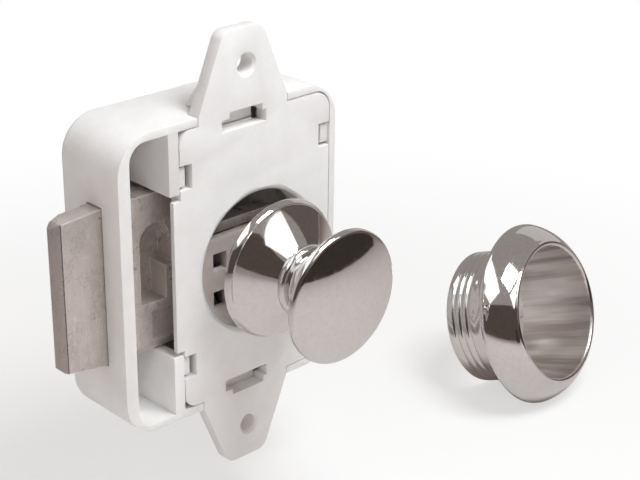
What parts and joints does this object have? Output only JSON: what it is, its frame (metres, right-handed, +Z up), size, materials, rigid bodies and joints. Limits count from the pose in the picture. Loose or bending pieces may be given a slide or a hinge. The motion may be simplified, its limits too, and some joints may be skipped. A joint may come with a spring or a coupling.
{
  "type": "touch latch",
  "caption": "Push-knob cabinet latch: moulded case with cover plate and two screw ears, metal bolt, polished knob and a loose trim ring for the door's face.",
  "frame": {"origin": "midway between the two screw holes, in the front plane of the cover plate, which lies on the back of the door", "axes": "-Y along the knob towards the person who pushes it, -X along the bolt, +Z up along the line of the screw holes"},
  "size_m": [0.1173, 0.0376, 0.0849],
  "materials": {
    "white_moulding": "satin white moulding",
    "inner_moulding": "plain moulding",
    "cast_bolt": "tumbled and plated casting",
    "spring_wire": "bright wire",
    "polished_plating": "mirror plated casting"
  },
  "bodies": {
    "latch": {"case": "white_moulding", "cover_plate": "white_moulding", "upper_bolt_spring": "spring_wire", "lower_bolt_spring": "spring_wire", "knob_spring": "spring_wire", "catch_wire": "spring_wire", "trim_ring": "polished_plating"},
    "knob_group": {"knob": "polished_plating", "plunger": "inner_moulding", "knob_screw": "spring_wire"},
    "bolt_slide": {"bolt": "cast_bolt"}
  },
  "joints": [
    {"name": "knob_out", "type": "slide", "parent": "latch", "child": "knob_group", "axis": [0, -1, 0], "range_m": [0, 0.008], "deforming": ["knob_spring"]},
    {"name": "bolt_in", "type": "slide", "parent": "latch", "child": "bolt_slide", "axis": [1, 0, 0], "range_m": [0, 0.0084], "deforming": ["upper_bolt_spring", "lower_bolt_spring"]}
  ],
  "couplings": [
    {"joint": "bolt_in", "follows": "knob_out", "ratio": 1.05}
  ]
}
